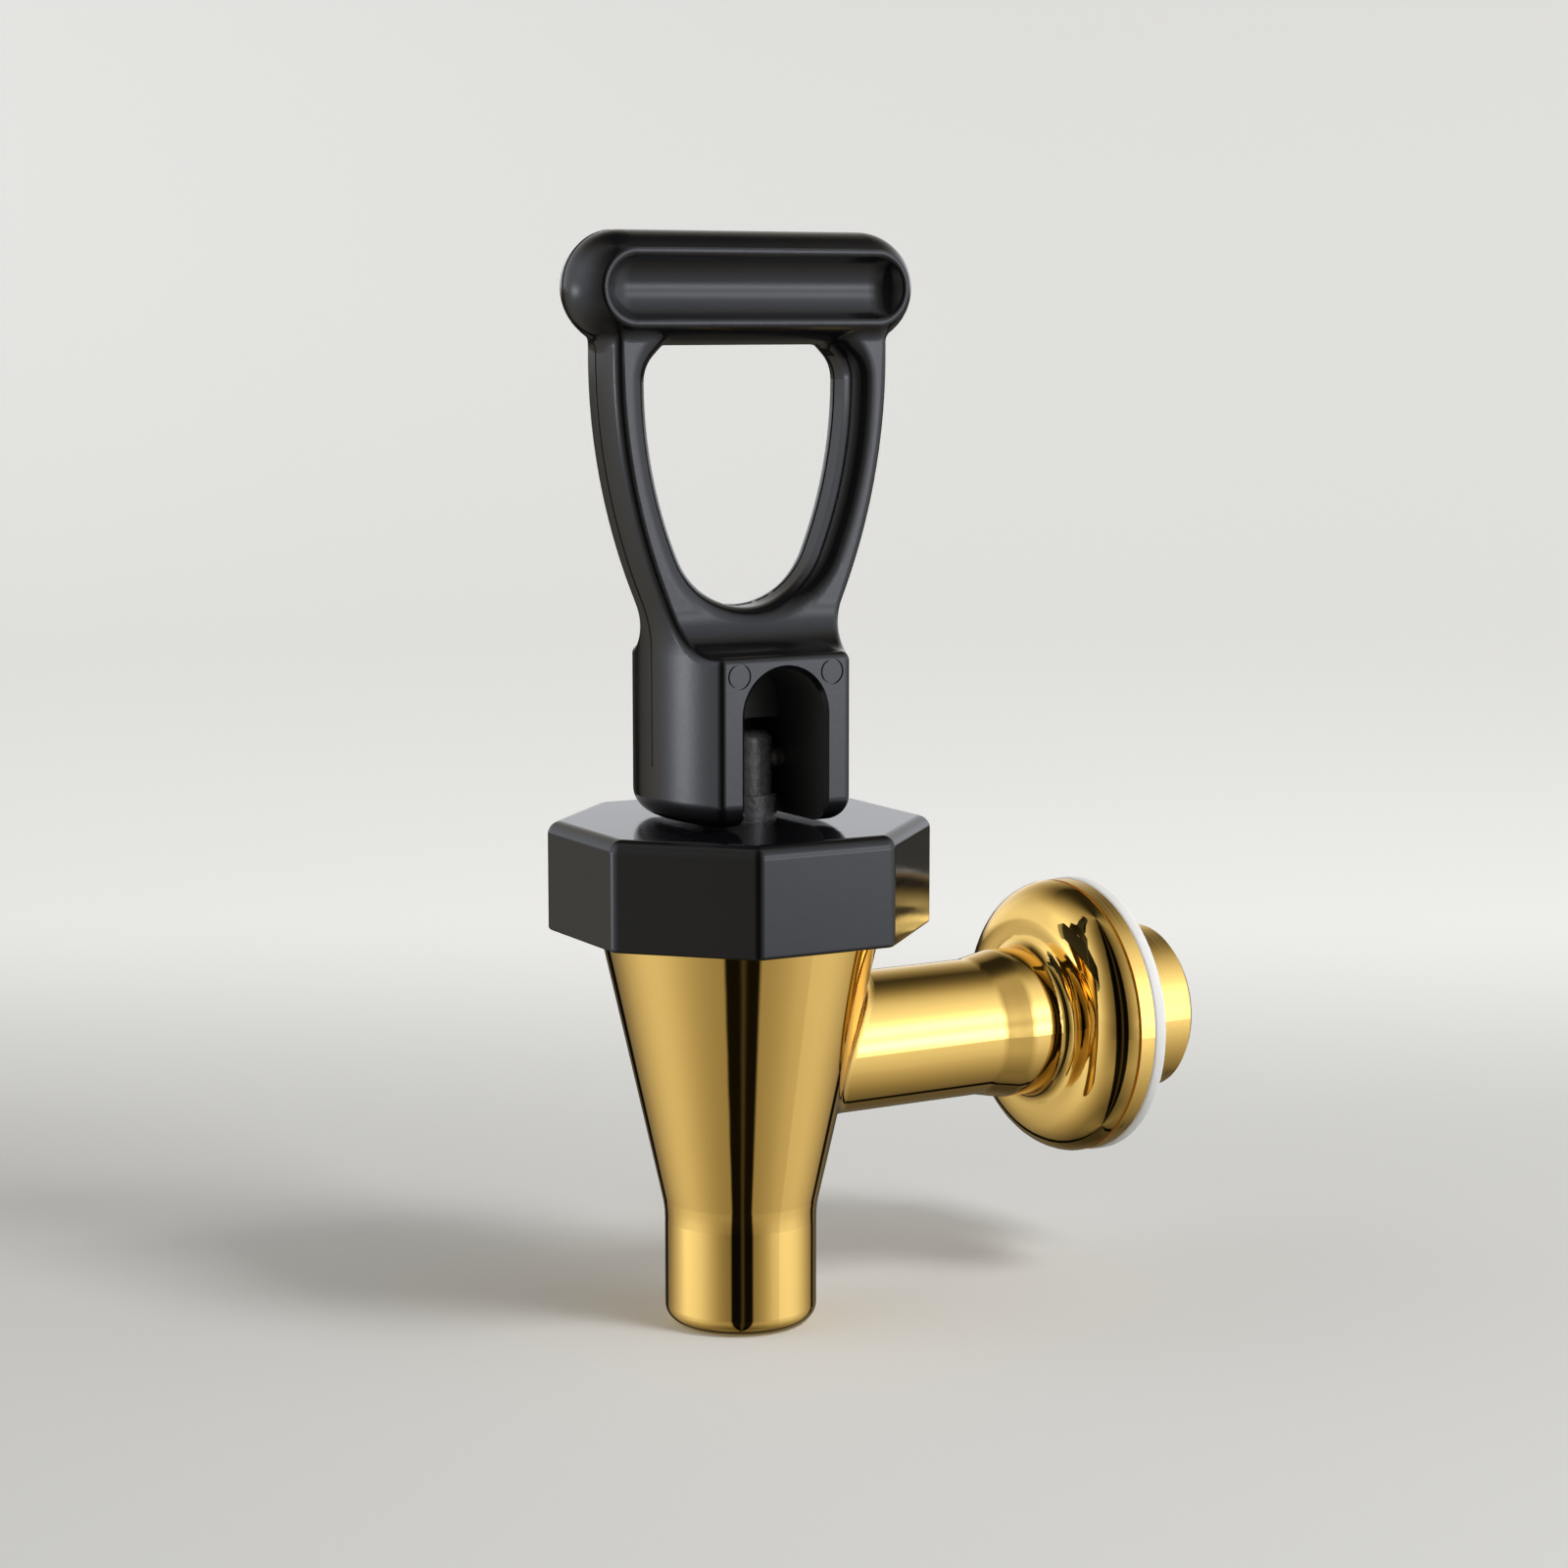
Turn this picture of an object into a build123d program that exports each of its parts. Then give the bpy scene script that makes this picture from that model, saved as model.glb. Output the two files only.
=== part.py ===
from build123d import *
from math import radians, sin, sqrt
import os

# Self-closing drinks tap: a cast body with a side shank, an octagonal bonnet, and a D-handle that
# lifts a spring-loaded stem. Frame: +Z up, +Y along the shank into the tank, origin on the shank
# axis at the face that meets the tank. Heights are above the mouth of the spout, in millimetres.

# Place of the tap axis
tap_reach = 38.9
spout_drop = 24.8

# Spout and valve chamber
spout_radius = 7.0
spout_straight = 10.7
spout_blend = 9.0
mouth_rounding = 1.6
mouth_chamfer = 0.4
outlet_radius = 5.0
cone_top_radius = 12.9
shoulder_height = 36.9
cone_wall = 1.8
chamber_radius = 9.8
seat_height = 17.0
neck_radius = 11.8

# Shank, flange and stub
shank_radius = 6.5
shank_bore_radius = 4.6
shank_joint_rounding = 1.4
collar_radius = 7.1
collar_length = 4.1
collar_taper = 3.0
collar_blend = 3.0
neck_rounding = 1.2
flange_radius = 13.2
dome_depth = 3.4
dome_inner_radius = 9.0
dome_bulge = 1.0
rim_thickness = 1.9
rim_line_depth = 0.25
rim_line_width = 0.35
stub_radius = 8.0
stub_length = 7.4
stub_chamfer = 0.5
relief_depth = 0.4

# Washer behind the flange
washer_thickness = 1.3
washer_radius = 13.3
washer_bore_clearance = 0.2
washer_edge = 0.25

# Bonnet
bonnet_flats = 32.5
bonnet_height = 10.0
bonnet_sides = 8
bonnet_turn = 2.2
bonnet_rounding = 1.2
bonnet_foot_rounding = 0.35
bonnet_roof = 1.9
thread_clearance = 0.15

# Seat cup
cup_rim_thickness = 1.5
cup_rim_clearance = 0.5
cup_wall = 1.0
cup_top_radius = 8.2
cup_plug_radius = 6.0
cup_plug_height = 3.4
cup_plug_rounding = 0.6
cup_floor = 5.0
cup_collar_clearance = 0.3

# Stem, its knob and its spring collar
stem_radius = 3.4
stem_shoulder = 2.4
stem_head_radius = 2.9
stem_head = 2.9
stem_top_rounding = 1.0
stem_running_clearance = 0.08
spring_collar_radius = 4.7
spring_collar_thickness = 1.5
knob_radius = 3.0
knob_height = 2.2
knob_neck_radius = 2.1
knob_neck_length = 1.4
knob_clearance = 0.15

# Spring
wire_radius = 0.4
spring_radius = 4.0
spring_turns = 7.5

# Pivot pin
pin_radius = 1.25
pin_blind_length = 6.2
pin_set_back = 0.45
pin_rise = 5.3
pin_running_clearance = 0.05
pin_end_clearance = 0.2
pin_end_chamfer = 0.2

# Handle foot block
foot_gap = 0.3
foot_rounding = 2.2
block_half_depth = 8.2
block_half_width = 8.7
block_face_half_width = 6.6
block_height = 15.3
ledge_depth = 1.0
crease_rounding = 0.8

# Handle arms and finger opening, as tangent arcs from the bottom up
arm_half_depth = 3.0
arm_waist_radius = 11.2
arm_lean = 23.4
arm_side_radius = 54.7
arm_straight = 6.03
opening_rise = 3.8
opening_bottom_radius = 7.94
opening_side_radius = 38.8
opening_corner_radius = 3.0
opening_corner_turn = 45
opening_edge_rounding = 2.2

# Crossbar and its thumb recess
bar_radius = 5.05
bar_half_length = 17.35
recess_radius = 3.4
recess_rim_depth = 4.05
recess_lip_rounding = 0.5
junction_rounding = 1.6

# Arch slot in the front of the block, and the deeper pocket below it for the stem
arch_half_width = 4.1
arch_height = 14.0
arch_back_depth = 0.1
arch_edge_chamfer = 0.4
pocket_height = 8.8
pocket_depth = 5.0
mark_radius = 1.17
mark_groove = 0.15
mark_offset = 4.78
mark_drop = 1.7

# Worked-out places
mouth_z = -spout_drop
tap_axis = Axis((0, -tap_reach, 0), (0, 0, 1))
tap_plane = Plane(origin=(0, -tap_reach, mouth_z), x_dir=(1, 0, 0), z_dir=(0, -1, 0))
handle_plane = Plane(origin=(0, -tap_reach, mouth_z), x_dir=(0, 1, 0), z_dir=(1, 0, 0))
bonnet_top = shoulder_height + bonnet_height
roof_underside = bonnet_top - bonnet_roof
neck_top = roof_underside - cup_rim_thickness
pin_height = bonnet_top + pin_rise
stem_top = pin_height + stem_head
foot_height = bonnet_top + foot_gap
ledge_height = foot_height + block_height
arch_top = foot_height + arch_height
pocket_top = foot_height + pocket_height
mark_height = ledge_height - mark_drop
opening_bottom = ledge_height + opening_rise
arm_rise = (arm_waist_radius + arm_side_radius) * sin(radians(arm_lean))
bar_height = ledge_height + arm_rise + arm_straight
rim_back = -washer_thickness
rim_front = rim_back - rim_thickness
dome_front = rim_front - dome_depth
collar_end = dome_front - collar_length
collar_start = collar_end - collar_taper
cup_floor_top = seat_height + cup_floor
collar_top = cup_floor_top + spring_collar_thickness
cone_slope = (cone_top_radius - spout_radius) / (shoulder_height - spout_straight)


def level(height):
    """Horizontal plane on the tap axis at a height above the mouth."""
    return Plane(origin=(0, -tap_reach, mouth_z + height))


def corner(sketch, x, y):
    """The corner of a sketch nearest to a point of its plane."""
    return sketch.vertices().sort_by_distance((x, y, 0))[0]


def cone_radius(height):
    """Outside radius of the tapered body at a height above the mouth."""
    return spout_radius + (height - spout_straight) * cone_slope


# Valve body: spout, tapered chamber, shank, domed flange and stub in one casting
chamber_floor_radius = cone_radius(seat_height) - cone_wall
chamber_shoulder = spout_straight + (chamber_radius + cone_wall - spout_radius) / cone_slope

with BuildPart() as valve_body:
    with BuildSketch(tap_plane) as spout_profile:
        with BuildLine():
            Polyline(
                (0, 0),
                (spout_radius, 0),
                (spout_radius, spout_straight),
                (cone_top_radius, shoulder_height),
                (neck_radius, shoulder_height),
                (neck_radius, neck_top),
                (0, neck_top),
                close=True,
            )
        make_face()
        fillet(corner(spout_profile, spout_radius, spout_straight), spout_blend)
        fillet(corner(spout_profile, spout_radius, 0), mouth_rounding)
    revolve(axis=tap_axis)
    with BuildSketch(Plane.XY) as shank_profile:
        with BuildLine():
            Polyline(
                (0, -tap_reach),
                (shank_radius, -tap_reach),
                (shank_radius, collar_start),
                (collar_radius, collar_end),
                (collar_radius, dome_front),
                (dome_inner_radius, dome_front),
            )
            SagittaArc((dome_inner_radius, dome_front), (flange_radius, rim_front), -dome_bulge)
            Polyline(
                (flange_radius, rim_front),
                (flange_radius - rim_line_depth, rim_front),
                (flange_radius - rim_line_depth, rim_front + rim_line_width),
                (flange_radius, rim_front + rim_line_width),
                (flange_radius, rim_back),
                (stub_radius - relief_depth, rim_back),
                (stub_radius - relief_depth, 0),
                (stub_radius, 0),
                (stub_radius, stub_length - stub_chamfer),
                (stub_radius - stub_chamfer, stub_length),
                (0, stub_length),
                (0, -tap_reach),
            )
        make_face()
        fillet(corner(shank_profile, shank_radius, collar_start), collar_blend)
        fillet(corner(shank_profile, collar_radius, collar_end), collar_blend)
        fillet(corner(shank_profile, collar_radius, dome_front), neck_rounding)
    revolve(axis=Axis.Y)
    joint_edges = [
        edge
        for edge in valve_body.edges()
        if edge.geom_type not in (GeomType.LINE, GeomType.CIRCLE) and edge.center().Y > -tap_reach
    ]
    fillet(joint_edges, shank_joint_rounding)
    with BuildSketch(tap_plane):
        with BuildLine():
            Polyline(
                (0, -mouth_rounding),
                (outlet_radius + mouth_chamfer + mouth_rounding, -mouth_rounding),
                (outlet_radius, mouth_chamfer),
                (outlet_radius, seat_height),
                (chamber_floor_radius, seat_height),
                (chamber_radius, chamber_shoulder),
                (chamber_radius, neck_top),
                (0, neck_top),
                close=True,
            )
        make_face()
    revolve(axis=tap_axis, mode=Mode.SUBTRACT)
    with BuildSketch(Plane.XZ.offset(tap_reach)):
        Circle(shank_bore_radius)
    extrude(amount=-tap_reach - stub_length, mode=Mode.SUBTRACT)

valve_body.part.label = "valve_body"

# Washer: milky ring behind the flange
with BuildPart() as flange_washer:
    with BuildSketch(Plane.XZ):
        Circle(washer_radius)
        Circle(stub_radius + washer_bore_clearance, mode=Mode.SUBTRACT)
    extrude(amount=washer_thickness)
    fillet(flange_washer.edges().filter_by(GeomType.CIRCLE).group_by(SortBy.RADIUS)[-1], washer_edge)

flange_washer.part.label = "flange_washer"

# Bonnet: octagonal cap, bored for neck and stem, that stops a little short of square to the shank
with BuildPart() as bonnet:
    with BuildSketch(level(shoulder_height)):
        bonnet_angle = 180 / bonnet_sides - bonnet_turn
        RegularPolygon(bonnet_flats / 2, bonnet_sides, major_radius=False, rotation=bonnet_angle)
    extrude(amount=bonnet_height)
    fillet(bonnet.edges().filter_by(Axis.Z) + bonnet.edges().group_by(Axis.Z)[-1], bonnet_rounding)
    fillet(bonnet.edges().group_by(Axis.Z)[0], bonnet_foot_rounding)
    with BuildSketch(level(shoulder_height)):
        Circle(neck_radius + thread_clearance)
    extrude(amount=roof_underside - shoulder_height, mode=Mode.SUBTRACT)
    with BuildSketch(level(roof_underside)):
        Circle(stem_radius + stem_running_clearance)
    extrude(amount=bonnet_roof, mode=Mode.SUBTRACT)

bonnet.part.label = "bonnet"

# Seat cup: its rim is clamped between neck and bonnet, its plug closes the outlet
cup_rim_radius = neck_radius - cup_rim_clearance
knob_bottom = cup_floor_top - knob_neck_length - knob_height
knob_top = cup_floor_top - knob_neck_length

with BuildPart() as seat_cup:
    with BuildSketch(tap_plane) as cup_profile:
        with BuildLine():
            Polyline(
                (0, seat_height),
                (cup_plug_radius, seat_height),
                (cup_plug_radius, seat_height + cup_plug_height),
                (cup_top_radius, neck_top),
                (cup_rim_radius, neck_top),
                (cup_rim_radius, roof_underside),
                (cup_top_radius - cup_wall, roof_underside),
                (spring_collar_radius + cup_collar_clearance, cup_floor_top),
                (knob_neck_radius + knob_clearance, cup_floor_top),
                (knob_neck_radius + knob_clearance, knob_top + knob_clearance),
                (knob_radius + knob_clearance, knob_top + knob_clearance),
                (knob_radius + knob_clearance, knob_bottom - knob_clearance),
                (0, knob_bottom - knob_clearance),
                close=True,
            )
        make_face()
        fillet(corner(cup_profile, cup_plug_radius, seat_height), cup_plug_rounding)
    revolve(axis=tap_axis)

seat_cup.part.label = "seat_cup"

# Stem: stepped head with the pin hole, spring collar, and a knob buttoned into the cup
shoulder_top = bonnet_top + stem_shoulder

with BuildPart() as stem:
    with BuildSketch(tap_plane) as stem_profile:
        with BuildLine():
            Polyline(
                (0, knob_bottom),
                (knob_radius, knob_bottom),
                (knob_radius, knob_top),
                (knob_neck_radius, knob_top),
                (knob_neck_radius, cup_floor_top),
                (spring_collar_radius, cup_floor_top),
                (spring_collar_radius, collar_top),
                (stem_radius, collar_top),
                (stem_radius, shoulder_top),
                (stem_head_radius, shoulder_top),
                (stem_head_radius, stem_top),
                (0, stem_top),
                close=True,
            )
        make_face()
        fillet(corner(stem_profile, stem_head_radius, stem_top), stem_top_rounding)
    revolve(axis=tap_axis)
    with BuildSketch(Plane.XZ.offset(tap_reach)):
        with Locations((0, mouth_z + pin_height)):
            Circle(pin_radius)
    extrude(amount=stem_radius, both=True, mode=Mode.SUBTRACT)

stem.part.label = "stem"

# Pivot pin: driven in through one cheek of the handle and the stem, into a blind hole in the other cheek
pin_start = -pin_blind_length
pin_length = pin_blind_length + block_half_width - pin_set_back

with BuildPart() as pivot_pin:
    with BuildSketch(Plane.XZ.offset(tap_reach - pin_start)):
        with Locations((0, mouth_z + pin_height)):
            Circle(pin_radius)
    extrude(amount=-pin_length)
    chamfer(pivot_pin.edges().filter_by(GeomType.CIRCLE), pin_end_chamfer)

pivot_pin.part.label = "pivot_pin"

# Spring: one wound wire with ground ends, from the stem's collar to the bonnet's roof
spring_length = roof_underside - collar_top
with BuildPart() as spring:
    with BuildLine(level(collar_top)):
        coil = Helix(spring_length / spring_turns, spring_length, spring_radius)
    with BuildSketch(Plane(coil @ 0, z_dir=coil % 0)):
        Circle(wire_radius)
    sweep(path=coil, is_frenet=True)
    with BuildSketch(level(collar_top)):
        Circle(spring_radius + 2 * wire_radius)
    extrude(amount=spring_length, mode=Mode.INTERSECT)

spring.part.label = "spring"

# Handle: foot block, saddle, arms with the finger opening, and a capsule crossbar in one moulding.
# Each side is bowed about an upright axis that lies beyond the tap's own axis.
hollow_front = block_half_depth - ledge_depth
hollow_radius = hollow_front - arm_half_depth
saddle_top = ledge_height + hollow_radius
side_bow = block_half_width - block_face_half_width
bow_radius = (block_half_depth**2 + side_bow**2) / (2 * side_bow)
bow_offset = block_half_width - bow_radius
bow_axis = Axis((0, bow_offset - tap_reach, 0), (0, 0, 1))

# The recess leaves a flat rim: bar and cutter meet in one plane
rim_half_height = sqrt(bar_radius**2 - recess_rim_depth**2)
recess_centre_depth = recess_rim_depth + sqrt(recess_radius**2 - rim_half_height**2)
recess_half_length = bar_half_length - bar_radius + recess_radius
recess_plane = handle_plane.offset(recess_centre_depth)
bar_axis = Axis((0, 0, mouth_z + bar_height), (0, 1, 0))
recess_axis = Axis((recess_centre_depth, 0, mouth_z + bar_height), (0, 1, 0))
pin_hole_radius = pin_radius + pin_running_clearance
pin_hole_start = pin_start - pin_end_clearance


def capsule_half(half_length, radius):
    """Upper half outline of a round-ended bar that lies across the handle."""
    with BuildSketch() as outline:
        with Locations((0, bar_height)):
            SlotOverall(2 * half_length, 2 * radius)
        with Locations((0, bar_height - radius / 2)):
            Rectangle(2 * half_length, radius, mode=Mode.SUBTRACT)
    return outline.sketch


def arch_outline(margin):
    """Round-topped slot, open at the foot, that is wider all round by a margin."""
    half_width = arch_half_width + margin
    spring_line = arch_top - arch_half_width
    with BuildSketch() as outline:
        with Locations((0, spring_line)):
            Circle(half_width)
        with Locations((0, (foot_height + spring_line) / 2)):
            Rectangle(2 * half_width, spring_line - foot_height)
    return outline.sketch


with BuildPart() as handle:
    with BuildSketch(handle_plane):
        with BuildLine():
            cheek = Line((block_half_width, foot_height), (block_half_width, ledge_height))
            waist = JernArc(cheek @ 1, cheek % 1, arm_waist_radius, -arm_lean)
            side = JernArc(waist @ 1, waist % 1, arm_side_radius, arm_lean)
            Polyline(
                side @ 1,
                ((side @ 1).X, bar_height),
                (bow_offset, bar_height),
                (bow_offset, foot_height),
                cheek @ 0,
            )
        make_face()
    revolve(axis=bow_axis)
    mirror(about=Plane.XZ.offset(tap_reach), mode=Mode.INTERSECT)
    with BuildSketch(tap_plane):
        with BuildLine():
            Polyline(
                (0, foot_height),
                (block_half_depth, foot_height),
                (block_half_depth, ledge_height),
                (hollow_front, ledge_height),
            )
            RadiusArc((hollow_front, ledge_height), (arm_half_depth, saddle_top), hollow_radius)
            Polyline((arm_half_depth, saddle_top), (arm_half_depth, bar_height), (0, bar_height))
            mirror(about=Plane.YZ)
        make_face()
    extrude(amount=bar_half_length, both=True, mode=Mode.INTERSECT)
    block_faces = handle.faces().sort_by(Axis.X)
    block_edges = [edge for face in (block_faces[0], block_faces[-1]) for edge in face.edges().sort_by(Axis.Z)[1:]]
    arm_edges = handle.edges().filter_by(Axis.Z).group_by(Axis.Z)[-1]
    fillet(block_edges + arm_edges, crease_rounding)
    fillet(handle.edges().group_by(Axis.Z)[0], foot_rounding)
    with BuildSketch(handle_plane):
        with BuildLine():
            bottom = JernArc((0, opening_bottom), (1, 0), opening_bottom_radius, 90 - arm_lean)
            flank = JernArc(bottom @ 1, bottom % 1, opening_side_radius, arm_lean)
            upper = JernArc(flank @ 1, flank % 1, opening_corner_radius, opening_corner_turn)
            into_bar = (upper % 1) * ((bar_height - (upper @ 1).Y) / (upper % 1).Y)
            Polyline(upper @ 1, upper @ 1 + into_bar, (0, bar_height))
            mirror(about=Plane.YZ)
        make_face()
    extrude(amount=block_half_depth, both=True, mode=Mode.SUBTRACT)
    rim_edges = handle.edges(Select.NEW).filter_by(Axis.X, reverse=True).filter_by(Axis.Y, reverse=True)
    fillet(rim_edges, opening_edge_rounding)
    with BuildSketch(handle_plane):
        add(capsule_half(bar_half_length, bar_radius))
    revolve(axis=bar_axis)
    fillet(handle.edges(Select.NEW), junction_rounding)
    with BuildSketch(recess_plane):
        add(capsule_half(recess_half_length, recess_radius))
    revolve(axis=recess_axis, mode=Mode.SUBTRACT)
    fillet(handle.edges(Select.NEW).filter_by(Plane.YZ), recess_lip_rounding)
    with BuildSketch(handle_plane.offset(-arch_back_depth)):
        add(arch_outline(0))
    extrude(amount=block_half_depth + arch_back_depth, mode=Mode.SUBTRACT)
    with BuildSketch(handle_plane.offset(block_half_depth)):
        add(arch_outline(arch_edge_chamfer))
    with BuildSketch(handle_plane.offset(block_half_depth - arch_edge_chamfer)):
        add(arch_outline(0))
    loft(ruled=True, mode=Mode.SUBTRACT)
    with BuildSketch(handle_plane):
        with Locations((0, (foot_height + pocket_top) / 2)):
            Rectangle(2 * arch_half_width, pocket_height)
    extrude(amount=-pocket_depth, mode=Mode.SUBTRACT)
    with BuildSketch(tap_plane.offset(-pin_hole_start)):
        with Locations((0, pin_height)):
            Circle(pin_hole_radius)
    extrude(amount=pin_hole_start - block_half_width, mode=Mode.SUBTRACT)
    with BuildSketch(handle_plane.offset(block_half_depth)):
        with Locations((-mark_offset, mark_height), (mark_offset, mark_height)):
            Circle(mark_radius)
            Circle(mark_radius - mark_groove, mode=Mode.SUBTRACT)
    extrude(amount=-mark_groove, mode=Mode.SUBTRACT)

handle.part.label = "handle"

# One file for each piece
os.makedirs("parts", exist_ok=True)
export_step(valve_body.part, "parts/valve_body.step")
export_step(flange_washer.part, "parts/flange_washer.step")
export_step(bonnet.part, "parts/bonnet.step")
export_step(seat_cup.part, "parts/seat_cup.step")
export_step(stem.part, "parts/stem.step")
export_step(pivot_pin.part, "parts/pivot_pin.step")
export_step(spring.part, "parts/spring.step")
export_step(handle.part, "parts/handle.step")
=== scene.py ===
from math import cos, pi, radians, sin

import bmesh
import bpy
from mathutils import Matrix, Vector


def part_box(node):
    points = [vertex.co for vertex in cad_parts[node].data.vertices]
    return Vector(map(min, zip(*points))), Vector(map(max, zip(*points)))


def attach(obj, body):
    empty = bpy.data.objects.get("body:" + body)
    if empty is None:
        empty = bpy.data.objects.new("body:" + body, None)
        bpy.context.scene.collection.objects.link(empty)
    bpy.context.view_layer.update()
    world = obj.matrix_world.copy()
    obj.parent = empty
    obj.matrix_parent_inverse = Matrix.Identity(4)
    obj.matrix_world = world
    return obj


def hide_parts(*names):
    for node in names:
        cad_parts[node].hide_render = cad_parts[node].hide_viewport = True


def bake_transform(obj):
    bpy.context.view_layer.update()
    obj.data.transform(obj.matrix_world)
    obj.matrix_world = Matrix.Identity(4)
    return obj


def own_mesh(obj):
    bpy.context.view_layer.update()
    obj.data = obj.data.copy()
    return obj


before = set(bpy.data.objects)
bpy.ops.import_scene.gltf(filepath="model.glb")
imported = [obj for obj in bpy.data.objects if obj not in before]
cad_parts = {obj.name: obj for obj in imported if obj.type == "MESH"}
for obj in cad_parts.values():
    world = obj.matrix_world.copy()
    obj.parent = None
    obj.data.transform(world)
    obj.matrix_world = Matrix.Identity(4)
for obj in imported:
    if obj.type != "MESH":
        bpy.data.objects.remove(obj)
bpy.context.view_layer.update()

# Drinks tap with a mirror-plated body, a black bonnet and a black D-handle, on a pale studio floor.
# Lengths are in metres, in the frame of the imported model: +Z up, +Y along the shank into the tank.

MM = 0.001
X_AXIS = (1, 0, 0)
Y_AXIS = (0, 1, 0)
Z_AXIS = (0, 0, 1)

stem_low, stem_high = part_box("stem")
washer_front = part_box("flange_washer")[0].y
handle_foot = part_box("handle")[0].z
spout_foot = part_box("valve_body")[0].z
tap_y = (stem_low.y + stem_high.y) / 2
tap_foot = Vector((0, tap_y, spout_foot))

# Camera, fitted to the photograph: its place is measured from the tap's foot, and its heading from the
# X axis, in degrees
HEADING = 31.0
PITCH = 7.83
CAMERA_DISTANCE = 0.31044
CAMERA_HEIGHT = 0.09271
CAMERA_SIDE = 0.00402
LENS = 79.07
SENSOR = 36.0

heading = radians(HEADING)
camera_right = Vector((sin(heading), cos(heading), 0))
camera_away = Vector((-cos(heading), sin(heading), 0))

# Pale cove round the tap, which only the camera sees
FLOOR_RADIUS = 0.62
COVE_RADIUS = 0.3
WALL_TOP = 1.0
COVE_STEPS = 12
COVE_SEGMENTS = 96
HIDDEN_RAYS = ("visible_diffuse", "visible_glossy", "visible_transmission", "visible_shadow")

# Paper of the cove, whose glow grows from the first distance behind the frame's origin to the second
PALE = (0.77, 0.77, 0.755)
CLOUD_GAIN = 1.02
PAPER_GRAIN = 6
PAPER_GLOW = (1, 1, 0.985, 1)
WALL_GLOW = 0.3
FADE = (0.03, 0.2)

# Key lamp, which throws the soft shadow, at a bearing measured as in the world below
KEY_BEARING = 60
KEY_DISTANCE = 0.4
KEY_HEIGHT = 0.45
KEY_SIZE = 0.16
KEY_WATTS = 1.4
KEY_AIM_HEIGHT = 0.05

# World of soft panels, which lights the tap and which the metal mirrors. Bearings are in degrees from the
# camera to its right, and tilts are the sines of the angle above the horizon. A pair of pairs is a span of
# bearings or tilts, and the levels at its two ends.
PANEL_BEARING = 80
PANEL_WIDTH = 40
PANEL_RISE = ((-0.6, 0), (0.3, 1.45))
PANEL_FALL = ((0.5, 1), (1, 0.2))
ROOM_BY_TILT = ((-0.55, -0.1), (0.34, 0.06))
ROOM_BY_BEARING = ((120, 165), (1, 0.4))
WALL_BY_BEARING = ((105, 140), (0, 0.95))
WALL_FOOT = ((-0.05, 0.03), (0, 1))
WALL_HEAD = ((0.15, 0.75), (1, 0))
UNDERSIDE = ((-0.9, -0.6), (0.35, 1))
STRIPS = (
    {"bearing_at": -91, "width": 10, "tilt_at": -0.08, "height": 0.11, "level": 3.2},
    {"bearing_at": 62, "width": 14, "tilt_at": -0.03, "height": 0.13, "level": 2.6},
    {"bearing_at": 63, "width": 14, "tilt_at": 0.3, "height": 0.15, "level": 2.0},
)

# Dark places of the world, each with its bearing and half its width: two low flags behind the tap, and
# a gap where the camera stands, with a faint line of light in it
LEFT_FLAG = (-152, 6)
RIGHT_FLAG = (141, 5)
FLAG_HEAD = ((-0.1, -0.02), (1, 0))
CAMERA_GAP = (3, 16.5)
GAP_LINE = (4, 2.5)
GAP_LINE_LEVEL = 0.05
DARK_LEVEL = 0.02
EDGE_BLUR = 2

# Tint of the world, from its dim places to its bright ones
TINT_SPAN = (0.25, 0.9)
WARM_LIGHT = (1.0, 0.91, 0.72)
COOL_LIGHT = (0.98, 1.0, 1.04)


class Graph:
    """A node tree, with short calls for the kinds of node used here."""

    def __init__(self, tree):
        self.nodes = tree.nodes
        self.links = tree.links

    def add(self, kind, inputs=(), **settings):
        """A new node: settings are its properties, inputs are pairs of socket and value or output."""
        node = self.nodes.new(kind)
        for name, value in settings.items():
            setattr(node, name, value)
        for socket, value in inputs:
            if isinstance(value, bpy.types.NodeSocket):
                self.links.new(value, node.inputs[socket])
            else:
                node.inputs[socket].default_value = value
        return node

    def remap(self, value, source, target, smooth=False):
        """A value moved from one span to another, and kept within it."""
        kind = "SMOOTHSTEP" if smooth else "LINEAR"
        inputs = [("Value", value), ("From Min", source[0]), ("From Max", source[1])]
        inputs += [("To Min", target[0]), ("To Max", target[1])]
        return self.add("ShaderNodeMapRange", inputs, interpolation_type=kind).outputs["Result"]

    def dot(self, vector, way):
        """How far a vector reaches along a fixed way."""
        inputs = [(0, vector), (1, way)]
        return self.add("ShaderNodeVectorMath", inputs, operation="DOT_PRODUCT").outputs["Value"]

    def math(self, operation, first, second=0.0):
        """One sum of one or two values."""
        inputs = [(0, first), (1, second)]
        return self.add("ShaderNodeMath", inputs, operation=operation).outputs["Value"]

    def mix(self, factor, first, second):
        """A value between two others."""
        inputs = [("Factor", factor), ("A", first), ("B", second)]
        return self.add("ShaderNodeMix", inputs, data_type="FLOAT").outputs["Result"]

    def colours(self, factor, first, second):
        """A colour between two others, each of which is an output or three numbers."""
        node = self.add("ShaderNodeMix", [("Factor", factor)], data_type="RGBA")
        for socket, colour in ((6, first), (7, second)):
            if isinstance(colour, bpy.types.NodeSocket):
                self.links.new(colour, node.inputs[socket])
            else:
                node.inputs[socket].default_value = (*colour, 1)
        return node.outputs[2]


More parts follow.
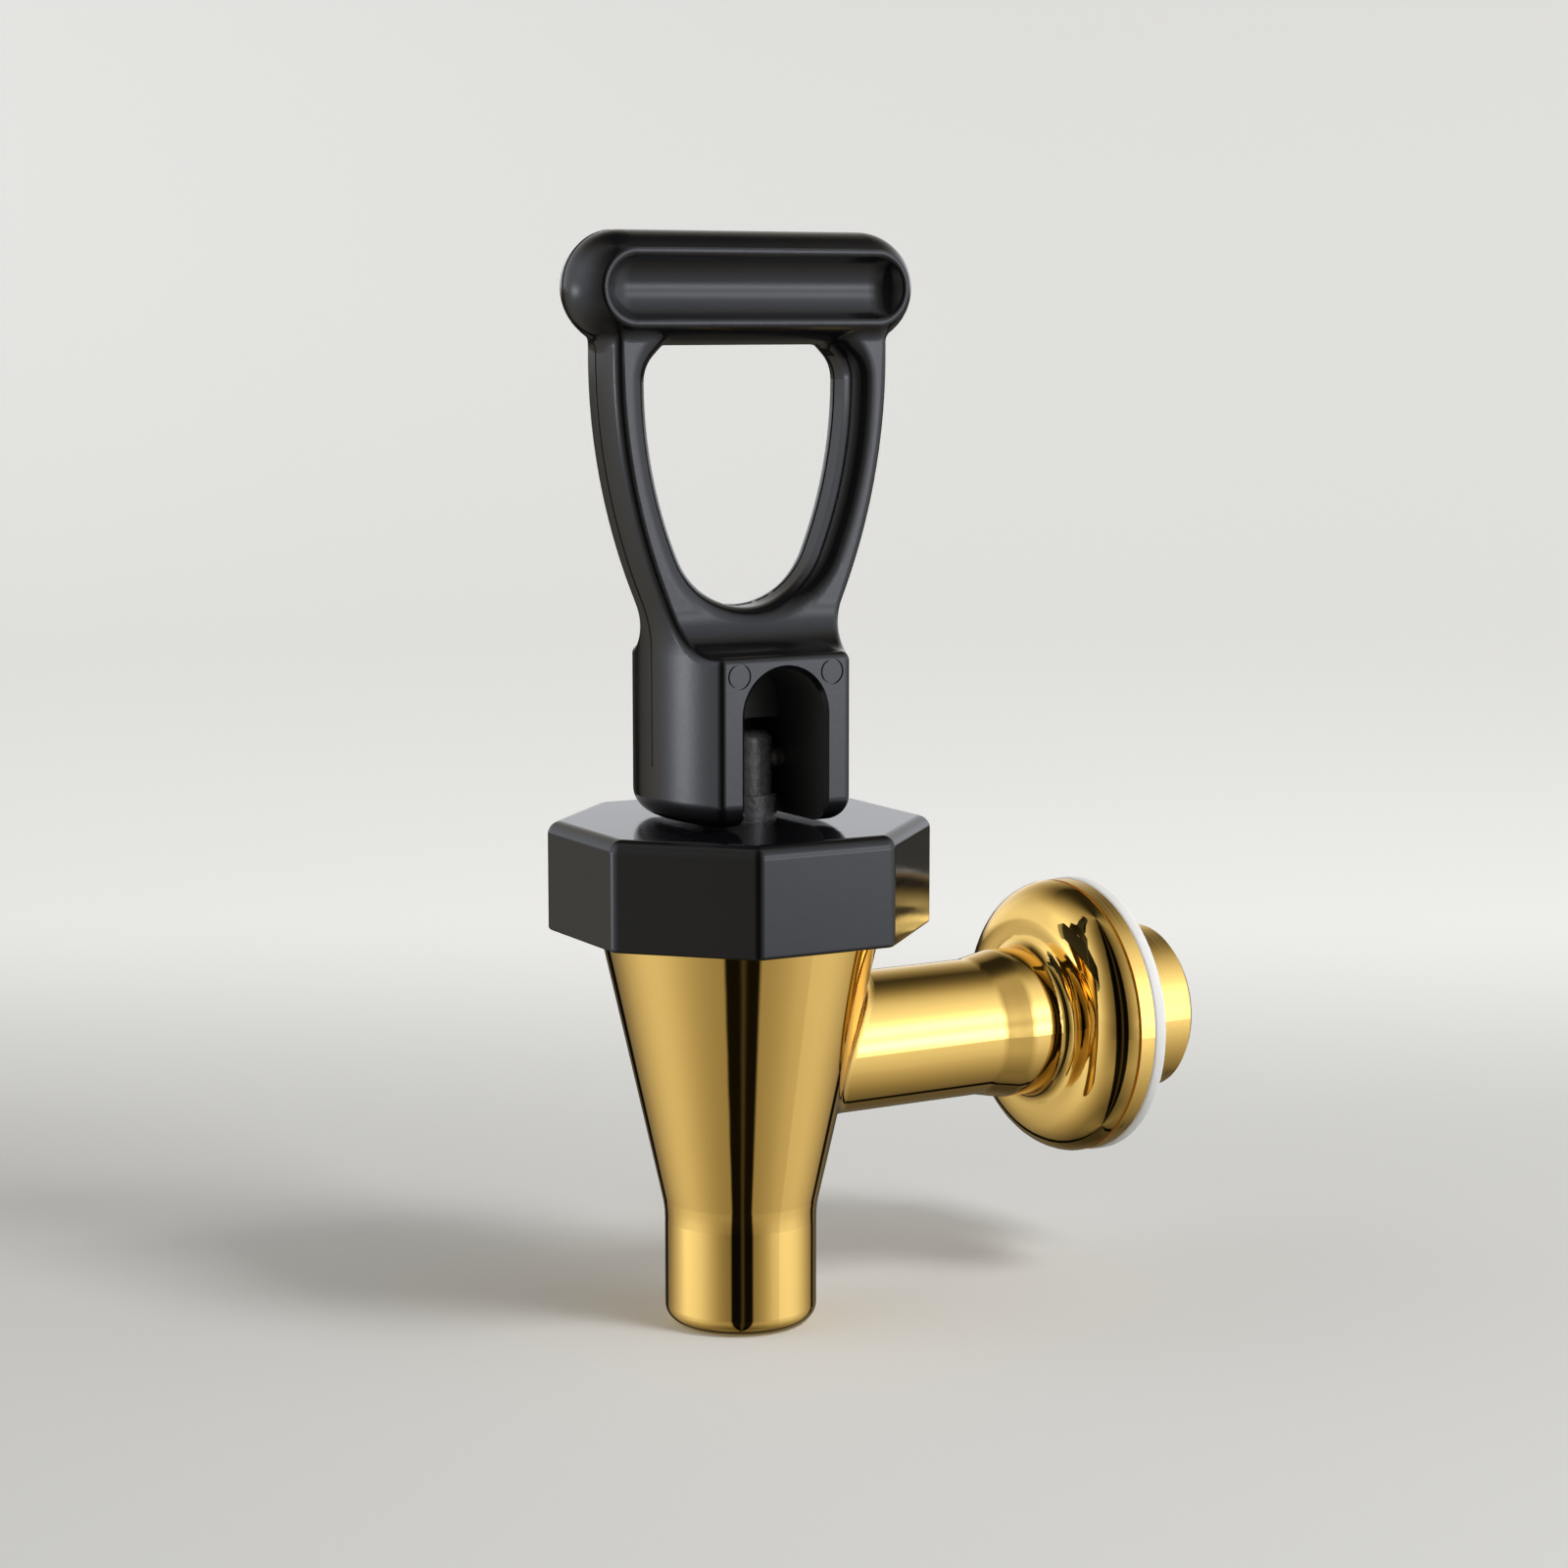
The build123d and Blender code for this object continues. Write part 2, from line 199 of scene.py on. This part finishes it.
class Shader(Graph):
    """A new material and its nodes."""

    def __init__(self, name):
        self.material = bpy.data.materials.new(name)
        self.material.use_nodes = True
        super().__init__(self.material.node_tree)
        self.surface = self.nodes["Principled BSDF"]

    def set(self, **values):
        """Constant values on the surface's own sockets, with _ for a space in a socket's name."""
        for name, value in values.items():
            self.surface.inputs[name.replace("_", " ")].default_value = value

    def drive(self, socket, output):
        """Links an output to one of the surface's sockets."""
        self.links.new(output, self.surface.inputs[socket])

    def place(self, stretch=(1, 1, 1)):
        """Coordinates in the part's frame, in metres, stretched along its axes."""
        coordinates = self.add("ShaderNodeTexCoord").outputs["Object"]
        mapping = self.add("ShaderNodeMapping", [("Vector", coordinates), ("Scale", stretch)])
        return mapping.outputs["Vector"]

    def along(self, way):
        """How far a point lies along a fixed way, in metres."""
        return self.dot(self.place(), way)

    def noise(self, grains_per_metre, detail=3.0, stretch=(1, 1, 1)):
        """Soft noise from 0 to 1."""
        settings = [("Vector", self.place(stretch)), ("Scale", grains_per_metre), ("Detail", detail)]
        return self.add("ShaderNodeTexNoise", settings).outputs["Fac"]

    def bump(self, height, depth):
        """Fine relief of a depth in metres."""
        inputs = [("Height", height), ("Distance", depth), ("Strength", 1.0)]
        self.drive("Normal", self.add("ShaderNodeBump", inputs).outputs["Normal"])


# Middle of the noise, where most of its values lie, for one noise and for the sum of two
NOISE_SPAN = (0.3, 0.7)
TWO_NOISES_SPAN = (0.6, 1.4)

# Gold plate: a mirror, with the flange's rim and the stub left finely turned
GOLD_SHADES = ((0.85, 0.565, 0.16), (0.89, 0.595, 0.175))
GOLD_CLOUD = 90
MIRROR_ROUGHNESS = (0.03, 0.06)
PEEL_GRAIN = 420
PEEL_SHARE = 0.25
TURNED_STRETCH = (60, 7000, 60)
TURNED_ROUGHNESS = (0.2, 0.36)
METAL_RELIEF = 0.004 * MM
RIM_LAND = 1.9 * MM
RIM_BLUR = 0.05 * MM


def gold_plate():
    shader = Shader("gold_plate")
    shader.set(Metallic=1.0)
    cloud = shader.noise(GOLD_CLOUD)
    rim_front = washer_front - RIM_LAND
    satin = shader.remap(shader.along(Y_AXIS), (rim_front - RIM_BLUR, rim_front + RIM_BLUR), (0, 1))
    streaks = shader.noise(1, detail=4, stretch=TURNED_STRETCH)
    shader.drive("Base Color", shader.colours(cloud, *GOLD_SHADES))
    mirror = shader.remap(cloud, NOISE_SPAN, MIRROR_ROUGHNESS)
    turned = shader.remap(streaks, NOISE_SPAN, TURNED_ROUGHNESS)
    shader.drive("Roughness", shader.mix(satin, mirror, turned))
    peel = shader.math("MULTIPLY", shader.noise(PEEL_GRAIN, detail=2), PEEL_SHARE)
    shader.bump(shader.mix(satin, peel, streaks), METAL_RELIEF)
    return shader.material


# Black mouldings, whose gloss is a little cool
COOL_GLOSS = (0.93, 0.95, 1.0, 1.0)
BLACK_SHADES = ((0.004, 0.004, 0.0052), (0.0065, 0.0065, 0.008))
HANDLE_CLOUD = 140
HANDLE_GRAIN = 2600
HANDLE_ROUGHNESS = (0.12, 0.21)
HANDLE_RELIEF = 0.005 * MM
BONNET_CLOUD = 110
BONNET_FLOW = 30
FLOW_STRETCH = (1, 1, 30)
BONNET_ROUGHNESS = (0.07, 0.14)
BONNET_GRAIN = 500
BONNET_RELIEF = 0.004 * MM
STEM_SHADES = ((0.025, 0.025, 0.026), (0.075, 0.075, 0.077))
STEM_GRAIN = 1200
STEM_ROUGHNESS = (0.2, 0.36)
STEM_RELIEF = 0.08 * MM

# The handle's slot for the stem, whose walls are left duller than the outside. They are also painted a
# lighter
# grey: painted light that stands in for the light reflected inside the slot. The dull region has no end at
# the rear, so it also takes in the part of the block's rear face that is in line with the slot.
SLOT_HALF_WIDTH = 4.12 * MM
SLOT_TOP = handle_foot + 14.05 * MM
SLOT_FRONT = 7.7 * MM
SLOT_BLUR = 0.1 * MM
SLOT_PAINTED_LIGHT_GREY = (0.08, 0.08, 0.084)
SLOT_ROUGHNESS = 0.5


def black_handle():
    shader = Shader("black_handle")
    shader.set(Specular_Tint=COOL_GLOSS)
    cloud = shader.noise(HANDLE_CLOUD)
    grain = shader.noise(HANDLE_GRAIN, detail=4)
    off_middle = shader.math("ABSOLUTE", shader.math("SUBTRACT", shader.along(Y_AXIS), tap_y))
    in_width = shader.remap(off_middle, (SLOT_HALF_WIDTH, SLOT_HALF_WIDTH + SLOT_BLUR), (1, 0))
    in_height = shader.remap(shader.along(Z_AXIS), (SLOT_TOP, SLOT_TOP + SLOT_BLUR), (1, 0))
    in_depth = shader.remap(shader.along(X_AXIS), (SLOT_FRONT, SLOT_FRONT + SLOT_BLUR), (1, 0))
    in_slot = shader.math("MULTIPLY", in_width, shader.math("MULTIPLY", in_height, in_depth))
    skin = shader.colours(cloud, *BLACK_SHADES)
    # The slot's lighter grey is painted light, standing in for the light reflected inside the slot
    shader.drive("Base Color", shader.colours(in_slot, skin, SLOT_PAINTED_LIGHT_GREY))
    gloss = shader.remap(shader.math("ADD", cloud, grain), TWO_NOISES_SPAN, HANDLE_ROUGHNESS)
    shader.drive("Roughness", shader.mix(in_slot, gloss, SLOT_ROUGHNESS))
    shader.bump(grain, HANDLE_RELIEF)
    return shader.material


def black_gloss():
    shader = Shader("black_gloss")
    shader.set(Specular_Tint=COOL_GLOSS)
    cloud = shader.noise(BONNET_CLOUD)
    flow = shader.noise(BONNET_FLOW, detail=4, stretch=FLOW_STRETCH)
    shader.drive("Base Color", shader.colours(cloud, *BLACK_SHADES))
    shader.drive("Roughness", shader.remap(flow, NOISE_SPAN, BONNET_ROUGHNESS))
    shader.bump(shader.noise(BONNET_GRAIN, detail=2), BONNET_RELIEF)
    return shader.material


def black_stem():
    shader = Shader("black_stem")
    grain = shader.noise(STEM_GRAIN, detail=6)
    shader.drive("Base Color", shader.colours(grain, *STEM_SHADES))
    shader.drive("Roughness", shader.remap(grain, NOISE_SPAN, STEM_ROUGHNESS))
    shader.bump(grain, STEM_RELIEF)
    return shader.material


# Milky silicone of the washer and of the cup inside
WASHER_SHADES = ((0.86, 0.86, 0.85), (0.9, 0.9, 0.88))
CUP_SHADES = ((0.8, 0.8, 0.77), (0.86, 0.86, 0.83))
SILICONE_IOR = 1.41
SILICONE_DEPTH = 2.0 * MM
SILICONE_RADIUS = (1.0, 1.0, 0.9)
SILICONE_WEIGHT = 0.6
SILICONE_CLOUD = 160
SILICONE_ROUGHNESS = (0.3, 0.42)
SILICONE_GRAIN = 1200
SILICONE_RELIEF = 0.01 * MM


def silicone(name, shades):
    shader = Shader(name)
    cloud = shader.noise(SILICONE_CLOUD)
    shader.set(Subsurface_Weight=SILICONE_WEIGHT, Subsurface_Radius=SILICONE_RADIUS)
    shader.set(Subsurface_Scale=SILICONE_DEPTH, IOR=SILICONE_IOR)
    shader.drive("Base Color", shader.colours(cloud, *shades))
    shader.drive("Roughness", shader.remap(cloud, NOISE_SPAN, SILICONE_ROUGHNESS))
    shader.bump(shader.noise(SILICONE_GRAIN), SILICONE_RELIEF)
    return shader.material


# Steel, with fine rings round the pin and an even grain on the spring's wire
STEEL_SHADES = ((0.5, 0.5, 0.5), (0.66, 0.66, 0.65))
STEEL_ROUGHNESS = (0.18, 0.34)
PIN_STRETCH = (300, 4000, 300)
WIRE_STRETCH = (900, 900, 900)


def steel(name, stretch):
    shader = Shader(name)
    shader.set(Metallic=1.0)
    streaks = shader.noise(1, detail=4, stretch=stretch)
    shader.drive("Base Color", shader.colours(streaks, *STEEL_SHADES))
    shader.drive("Roughness", shader.remap(streaks, NOISE_SPAN, STEEL_ROUGHNESS))
    shader.bump(streaks, METAL_RELIEF)
    return shader.material


def pale_paper():
    """Matt paper, whose far side glows a little where it is seen, so that it fades to white."""
    shader = Shader("pale_paper")
    cloud = shader.noise(PAPER_GRAIN, detail=2)
    light = tuple(CLOUD_GAIN * value for value in PALE)
    shader.drive("Base Color", shader.colours(cloud, PALE, light))
    shader.set(Roughness=0.9, Specular_IOR_Level=0.1, Emission_Color=PAPER_GLOW)
    behind = shader.remap(shader.along(camera_away), FADE, (0, WALL_GLOW), smooth=True)
    rays = shader.add("ShaderNodeLightPath").outputs
    mirrored = shader.math("MAXIMUM", rays["Is Glossy Ray"], rays["Is Transmission Ray"])
    seen = shader.math("MAXIMUM", rays["Is Camera Ray"], mirrored)
    shader.drive("Emission Strength", shader.math("MULTIPLY", behind, seen))
    return shader.material


def dress(node, material):
    """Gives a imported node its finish."""
    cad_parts[node].data.materials.clear()
    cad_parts[node].data.materials.append(material)


dress("valve_body", gold_plate())
dress("bonnet", black_gloss())
dress("handle", black_handle())
dress("stem", black_stem())
dress("pivot_pin", steel("steel", PIN_STRETCH))
dress("flange_washer", silicone("milky_silicone", WASHER_SHADES))


def put(name, data):
    """A new object in the scene."""
    item = bpy.data.objects.new(name, data)
    bpy.context.scene.collection.objects.link(item)
    return item


def inner_piece(name, node, material):
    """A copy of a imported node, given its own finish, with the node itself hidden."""
    piece = put(name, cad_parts[node].data.copy())
    piece.data.materials.clear()
    piece.data.materials.append(material)
    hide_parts(node)
    return piece


def valve_cup():
    """Copy of the seat cup in milky silicone, with its place baked into its points."""
    piece = inner_piece("valve_cup", "seat_cup", silicone("seat_silicone", CUP_SHADES))
    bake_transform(piece)


def valve_spring():
    """Copy of the spring in steel, hung on the tap's body with a mesh of its own."""
    piece = inner_piece("valve_spring", "spring", steel("spring_steel", WIRE_STRETCH))
    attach(piece, "tap_body")
    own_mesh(piece)


valve_cup()
valve_spring()


# Parting line of the handle's mould: a fine ridge round its middle, kept off the foot and the slot
PARTING_X = -0.8 * MM
RIDGE_RADIUS = 0.08 * MM
RIDGE_FOOT = handle_foot + 3 * MM
SOLID_BLOCK_TOP = handle_foot + 17 * MM
CHEEK_INSIDE = 8.2 * MM
WELD = 0.001 * MM


def joined_runs(points):
    """Runs of joined points, each in order, and whether a run closes on itself."""
    links = {point: [edge.other_vert(point) for edge in point.link_edges] for point in points}
    links = {point: [other for other in others if other in links] for point, others in links.items()}
    waiting = sorted(links, key=lambda point: len(links[point]))
    runs = []
    while waiting:
        run = [waiting.pop(0)]
        following = [other for other in links[run[-1]] if other in waiting]
        while following:
            run.append(following[0])
            waiting.remove(following[0])
            following = [other for other in links[run[-1]] if other in waiting]
        runs.append(([point.co.copy() for point in run], run[0] in links[run[-1]]))
    return runs


def parting_line():
    """The handle's outline in the parting plane, as a fine tube."""
    shape = bmesh.new()
    shape.from_mesh(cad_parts["handle"].data)
    bmesh.ops.remove_doubles(shape, verts=shape.verts, dist=WELD)
    everything = shape.verts[:] + shape.edges[:] + shape.faces[:]
    plane = {"plane_co": (PARTING_X, 0, 0), "plane_no": X_AXIS}
    bmesh.ops.bisect_plane(shape, geom=everything, clear_inner=True, clear_outer=True, **plane)
    points = []
    for point in shape.verts:
        on_cheek = point.co.z > RIDGE_FOOT and abs(point.co.y - tap_y) > CHEEK_INSIDE
        if on_cheek or point.co.z > SOLID_BLOCK_TOP:
            points.append(point)
    curve = bpy.data.curves.new("parting_line", "CURVE")
    curve.dimensions = "3D"
    curve.bevel_depth = RIDGE_RADIUS
    curve.bevel_resolution = 1
    for run, closed in joined_runs(points):
        spline = curve.splines.new("POLY")
        spline.points.add(len(run) - 1)
        for place, point in zip(spline.points, run):
            place.co = (*point, 1)
        spline.use_cyclic_u = closed and len(run) > 2
    shape.free()
    piece = put("parting_line", curve)
    curve.materials.append(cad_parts["handle"].data.materials[0])
    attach(piece, "handle")


parting_line()


# The studio
def round_cove():
    """Floor disc that sweeps up into a round wall."""
    profile = [(0.0, 0.0), (FLOOR_RADIUS / 2, 0.0)]
    for step in range(COVE_STEPS + 1):
        angle = radians(90) * step / COVE_STEPS
        profile.append((FLOOR_RADIUS + COVE_RADIUS * sin(angle), COVE_RADIUS * (1 - cos(angle))))
    profile.append((FLOOR_RADIUS + COVE_RADIUS, WALL_TOP))
    shape = bmesh.new()
    corners = [shape.verts.new((tap_foot.x + r, tap_foot.y, tap_foot.z + z)) for r, z in profile]
    edges = [shape.edges.new(pair) for pair in zip(corners, corners[1:])]
    turn = {"cent": tap_foot, "axis": Z_AXIS, "angle": 2 * pi, "steps": COVE_SEGMENTS}
    bmesh.ops.spin(shape, geom=corners + edges, **turn)
    bmesh.ops.remove_doubles(shape, verts=shape.verts, dist=MM)
    bmesh.ops.recalc_face_normals(shape, faces=shape.faces)
    bmesh.ops.reverse_faces(shape, faces=shape.faces)
    mesh = bpy.data.meshes.new("floor")
    shape.to_mesh(mesh)
    shape.free()
    mesh.shade_smooth()
    mesh.materials.append(pale_paper())
    floor = put("floor", mesh)
    for rays in HIDDEN_RAYS:
        setattr(floor, rays, False)


def key_lamp():
    """A soft box that lights the tap but isn't mirrored in it."""
    lamp = bpy.data.lights.new("key_box", "AREA")
    lamp.shape = "RECTANGLE"
    lamp.size = KEY_SIZE
    lamp.size_y = KEY_SIZE
    lamp.energy = KEY_WATTS
    item = put("key_box", lamp)
    angle = radians(KEY_BEARING - HEADING)
    towards = Vector((cos(angle), sin(angle), 0))
    item.location = tap_foot + KEY_DISTANCE * towards + Vector((0, 0, KEY_HEIGHT))
    aim = tap_foot + Vector((0, 0, KEY_AIM_HEIGHT)) - item.location
    item.rotation_euler = aim.to_track_quat("-Z", "Z").to_euler()
    item.visible_glossy = False


def studio_world():
    """Soft panels on both sides, a pale wall behind the tap, and a dark gap where the camera stands."""
    world = bpy.data.worlds.new("studio")
    world.use_nodes = True
    graph = Graph(world.node_tree)
    way = graph.add("ShaderNodeTexCoord").outputs["Generated"]
    tilt = graph.dot(way, Z_AXIS)
    turn = graph.math("ARCTAN2", graph.dot(way, camera_right), graph.dot(way, -camera_away))
    bearing = graph.math("MULTIPLY", turn, 180 / pi)
    aside = graph.math("ABSOLUTE", bearing)

    def hump(value, centre, width):
        """A soft hump, 1 at its centre."""
        off = graph.math("DIVIDE", graph.math("SUBTRACT", value, centre), width)
        return graph.math("EXPONENT", graph.math("MULTIPLY", graph.math("MULTIPLY", off, off), -1))

    def window(centre, half_width):
        """1 within a span of bearings, and 0 outside it."""
        off = graph.math("ABSOLUTE", graph.math("SUBTRACT", bearing, centre))
        return graph.remap(off, (half_width - EDGE_BLUR, half_width + EDGE_BLUR), (1, 0), smooth=True)

    def strip(bearing_at, width, tilt_at, height, level):
        """A bright strip within a panel."""
        across = graph.math("MULTIPLY", hump(bearing, bearing_at, width), level)
        return graph.math("MULTIPLY", across, hump(tilt, tilt_at, height))

    reach = graph.math("MULTIPLY", graph.remap(tilt, *PANEL_RISE), graph.remap(tilt, *PANEL_FALL))
    panels = graph.math("MULTIPLY", hump(aside, PANEL_BEARING, PANEL_WIDTH), reach)
    room = graph.math("MULTIPLY", graph.remap(tilt, *ROOM_BY_TILT), graph.remap(aside, *ROOM_BY_BEARING))
    wall = graph.math("MULTIPLY", graph.remap(aside, *WALL_BY_BEARING), graph.remap(tilt, *WALL_FOOT))
    wall = graph.math("MULTIPLY", wall, graph.remap(tilt, *WALL_HEAD))
    light = graph.math("ADD", panels, graph.math("ADD", room, wall))
    light = graph.math("MULTIPLY", light, graph.remap(tilt, *UNDERSIDE))
    for measures in STRIPS:
        light = graph.math("ADD", light, strip(**measures))
    flags = graph.math("ADD", window(*LEFT_FLAG), window(*RIGHT_FLAG))
    flags = graph.math("MULTIPLY", flags, graph.remap(tilt, *FLAG_HEAD))
    dark = graph.math("MAXIMUM", flags, window(*CAMERA_GAP))
    light = graph.math("MULTIPLY", light, graph.remap(dark, (0, 1), (1, DARK_LEVEL)))
    line = graph.math("MULTIPLY", hump(bearing, *GAP_LINE), GAP_LINE_LEVEL)
    light = graph.math("ADD", light, line)
    tint = graph.colours(graph.remap(light, TINT_SPAN, (0, 1)), WARM_LIGHT, COOL_LIGHT)
    graph.links.new(tint, graph.nodes["Background"].inputs["Color"])
    graph.links.new(light, graph.nodes["Background"].inputs["Strength"])
    bpy.context.scene.world = world


def add_camera():
    """The photograph's view."""
    up = Vector((0, 0, 1))
    lens = bpy.data.cameras.new("camera")
    lens.lens = LENS
    lens.sensor_width = SENSOR
    item = put("camera", lens)
    across = tap_foot + CAMERA_SIDE * camera_right
    item.location = across - CAMERA_DISTANCE * camera_away + CAMERA_HEIGHT * up
    look = cos(radians(PITCH)) * camera_away - sin(radians(PITCH)) * up
    item.rotation_euler = look.to_track_quat("-Z", "Y").to_euler()
    bpy.context.scene.camera = item


round_cove()
key_lamp()
studio_world()
add_camera()
bpy.context.scene.view_settings.view_transform = "Standard"
